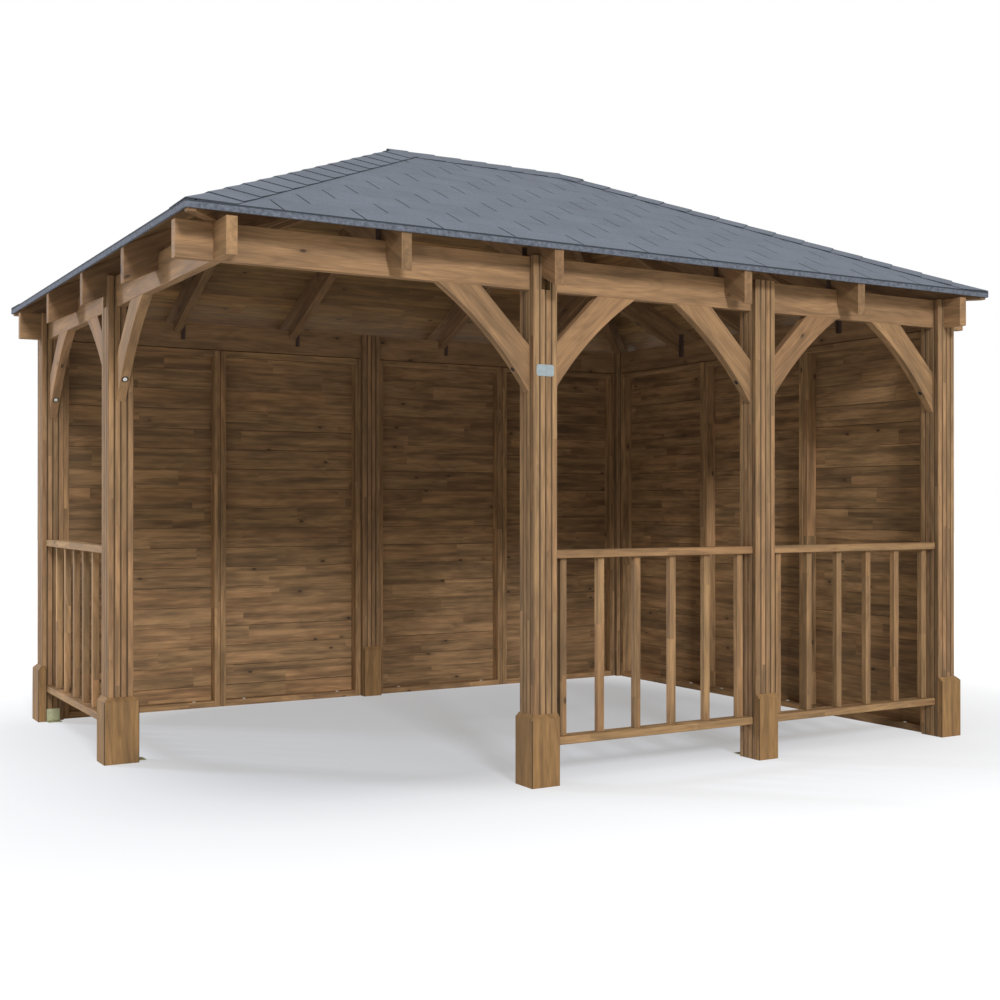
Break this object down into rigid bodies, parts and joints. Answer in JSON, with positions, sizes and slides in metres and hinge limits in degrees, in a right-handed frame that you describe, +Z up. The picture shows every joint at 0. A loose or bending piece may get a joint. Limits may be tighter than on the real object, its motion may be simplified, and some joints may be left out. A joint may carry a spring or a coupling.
{
  "type": "garden gazebo",
  "caption": "Open-fronted timber garden gazebo with a hipped slate-effect roof, grooved posts, curved braces, boarded back and side walls and low balustrades.",
  "frame": {"origin": "centre of the plan at ground level", "axes": "+X along the long side to the right seen from the front, +Y from the front to the back, +Z up"},
  "size_m": [4.28, 3.24, 3.0819],
  "materials": {
    "post_timber": "planed, stained softwood",
    "frame_timber": "planed, stained softwood",
    "panel_timber": "planed, stained softwood",
    "rail_timber": "planed, stained softwood",
    "roof_board_timber": "planed boards",
    "slate_tile": "dark slate-effect tile",
    "zinc_steel": "zinc plated"
  },
  "bodies": {
    "root": {"back_beam": "frame_timber", "back_rafters": "frame_timber", "back_wall_panel_1": "panel_timber", "back_wall_panel_2": "panel_timber", "back_wall_panel_3": "panel_timber", "back_wall_panel_4": "panel_timber", "balustrade_front_1": "rail_timber", "balustrade_front_2": "rail_timber", "balustrade_left": "rail_timber", "eaves_trim_long": "slate_tile", "eaves_trim_short": "slate_tile", "front_beam": "frame_timber", "front_braces": "frame_timber", "front_rafters": "frame_timber", "hip_caps_back": "slate_tile", "hip_caps_front": "slate_tile", "hip_rafters_back": "frame_timber", "hip_rafters_front": "frame_timber", "left_beam": "frame_timber", "left_braces": "frame_timber", "left_rafters": "frame_timber", "post_back_left": "post_timber", "post_back_middle": "post_timber", "post_back_right": "post_timber", "post_brackets": "zinc_steel", "post_front_inner_left": "post_timber", "post_front_inner_right": "post_timber", "post_front_right": "post_timber", "post_left_middle": "post_timber", "post_plinths": "post_timber", "ridge_board": "frame_timber", "ridge_cap": "slate_tile", "right_beam": "frame_timber", "right_rafters": "frame_timber", "right_wall_panel_1": "panel_timber", "right_wall_panel_2": "panel_timber", "right_wall_panel_3": "panel_timber", "roof_boards_back": "roof_board_timber", "roof_boards_front": "roof_board_timber", "roof_boards_left": "roof_board_timber", "roof_boards_right": "roof_board_timber", "roof_tiles_back": "slate_tile", "roof_tiles_front": "slate_tile", "roof_tiles_left": "slate_tile", "roof_tiles_right": "slate_tile"}
  },
  "joints": []
}
